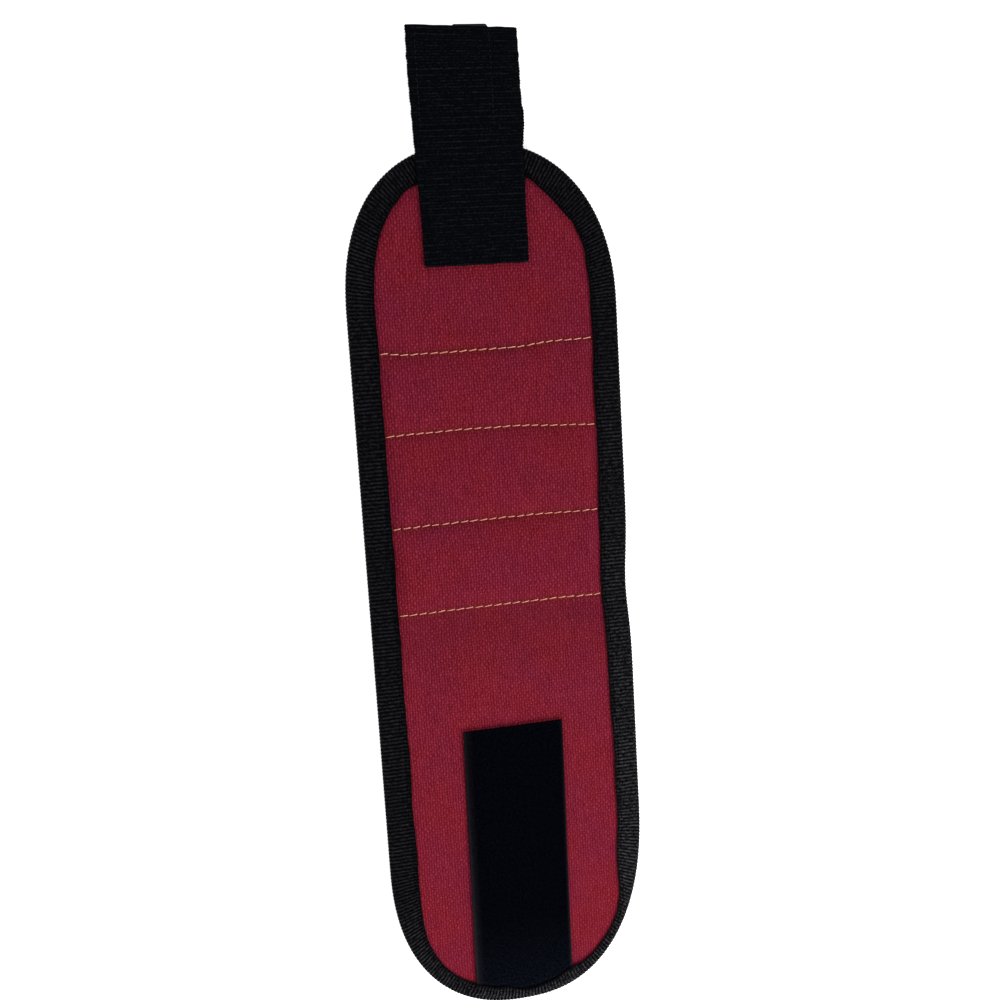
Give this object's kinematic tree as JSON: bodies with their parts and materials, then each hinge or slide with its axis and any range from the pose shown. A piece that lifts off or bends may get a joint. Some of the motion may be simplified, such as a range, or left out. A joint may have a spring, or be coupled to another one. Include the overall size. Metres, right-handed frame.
{
  "type": "magnetic wristband",
  "caption": "Long fabric wristband with bound edge, magnet pockets, hook strap and loop patch, laid flat. It folds at its rows of stitching to close round a forearm.",
  "frame": {"origin": "middle of the bottom of the box, with the band laid flat, lining down", "axes": "+Y along the band towards the closing strap, +Z out of the front canvas, +X across the band"},
  "size_m": [0.1, 0.37, 0.0053],
  "materials": {
    "red_canvas": "plain-weave polyester canvas, matt",
    "black_lining": "knitted mesh lining, matt",
    "black_binding": "ribbed grosgrain tape",
    "black_webbing": "ribbed webbing",
    "black_loop": "napped loop pile",
    "black_hook": "moulded hooks on woven tape",
    "gold_thread": "twisted polyester thread",
    "grey_foam": "closed-cell foam sheet",
    "plated_magnet": "bright nickel plate"
  },
  "bodies": {
    "pocket_2": {"front_pocket_2": "red_canvas", "lining_pocket_2": "black_lining", "binding_left_pocket_2": "black_binding", "binding_right_pocket_2": "black_binding", "foam_pocket_2": "grey_foam", "magnet_pocket_2_1": "plated_magnet", "magnet_pocket_2_2": "plated_magnet", "magnet_pocket_2_3": "plated_magnet", "magnet_pocket_2_4": "plated_magnet", "stitch_row_2": "gold_thread", "stitch_row_3": "gold_thread"},
    "pocket_1": {"front_pocket_1": "red_canvas", "lining_pocket_1": "black_lining", "binding_left_pocket_1": "black_binding", "binding_right_pocket_1": "black_binding", "foam_pocket_1": "grey_foam", "magnet_pocket_1_1": "plated_magnet", "magnet_pocket_1_2": "plated_magnet", "magnet_pocket_1_3": "plated_magnet", "magnet_pocket_1_4": "plated_magnet", "stitch_row_1": "gold_thread"},
    "upper_plain": {"front_upper_plain": "red_canvas", "lining_upper_plain": "black_lining", "binding_left_upper_plain": "black_binding", "binding_right_upper_plain": "black_binding"},
    "strap_seat": {"front_strap_seat": "red_canvas", "lining_strap_seat": "black_lining", "binding_strap_seat": "black_binding", "strap_sewn": "black_webbing"},
    "strap": {"strap_free": "black_webbing", "hook_tape": "black_hook"},
    "pocket_3": {"front_pocket_3": "red_canvas", "lining_pocket_3": "black_lining", "binding_left_pocket_3": "black_binding", "binding_right_pocket_3": "black_binding", "foam_pocket_3": "grey_foam", "magnet_pocket_3_1": "plated_magnet", "magnet_pocket_3_2": "plated_magnet", "magnet_pocket_3_3": "plated_magnet", "magnet_pocket_3_4": "plated_magnet", "stitch_row_4": "gold_thread"},
    "lower_plain": {"front_lower_plain": "red_canvas", "lining_lower_plain": "black_lining", "binding_left_lower_plain": "black_binding", "binding_right_lower_plain": "black_binding"},
    "loop_top": {"front_loop_top": "red_canvas", "lining_loop_top": "black_lining", "binding_left_loop_top": "black_binding", "binding_right_loop_top": "black_binding", "patch_loop_top": "black_loop"},
    "loop_middle": {"front_loop_middle": "red_canvas", "lining_loop_middle": "black_lining", "binding_left_loop_middle": "black_binding", "binding_right_loop_middle": "black_binding", "patch_loop_middle": "black_loop"},
    "loop_end": {"front_loop_end": "red_canvas", "lining_loop_end": "black_lining", "binding_loop_end": "black_binding", "patch_loop_end": "black_loop"}
  },
  "joints": [
    {"name": "fold_row_2", "type": "hinge", "parent": "pocket_2", "child": "pocket_1", "pos_m": [0, 0.0435, 0], "axis": [-1, 0, 0], "range_deg": [0, 40]},
    {"name": "fold_row_1", "type": "hinge", "parent": "pocket_1", "child": "upper_plain", "pos_m": [0, 0.0745, 0], "axis": [-1, 0, 0], "range_deg": [0, 38]},
    {"name": "fold_strap_seam", "type": "hinge", "parent": "upper_plain", "child": "strap_seat", "pos_m": [0, 0.103, 0], "axis": [-1, 0, 0], "range_deg": [0, 40]},
    {"name": "strap_fold", "type": "hinge", "parent": "strap_seat", "child": "strap", "pos_m": [0, 0.145, 0.0037], "axis": [-1, 0, 0], "range_deg": [0, 48]},
    {"name": "fold_row_3", "type": "hinge", "parent": "pocket_2", "child": "pocket_3", "pos_m": [0, 0.0075, 0], "axis": [1, 0, 0], "range_deg": [0, 40]},
    {"name": "fold_row_4", "type": "hinge", "parent": "pocket_3", "child": "lower_plain", "pos_m": [0, -0.0255, 0], "axis": [1, 0, 0], "range_deg": [0, 50]},
    {"name": "fold_patch_top", "type": "hinge", "parent": "lower_plain", "child": "loop_top", "pos_m": [0, -0.0725, 0], "axis": [1, 0, 0], "range_deg": [0, 52]},
    {"name": "fold_patch_middle", "type": "hinge", "parent": "loop_top", "child": "loop_middle", "pos_m": [0, -0.11, 0], "axis": [1, 0, 0], "range_deg": [0, 52]},
    {"name": "fold_patch_end", "type": "hinge", "parent": "loop_middle", "child": "loop_end", "pos_m": [0, -0.1475, 0], "axis": [1, 0, 0], "range_deg": [0, 50]}
  ]
}
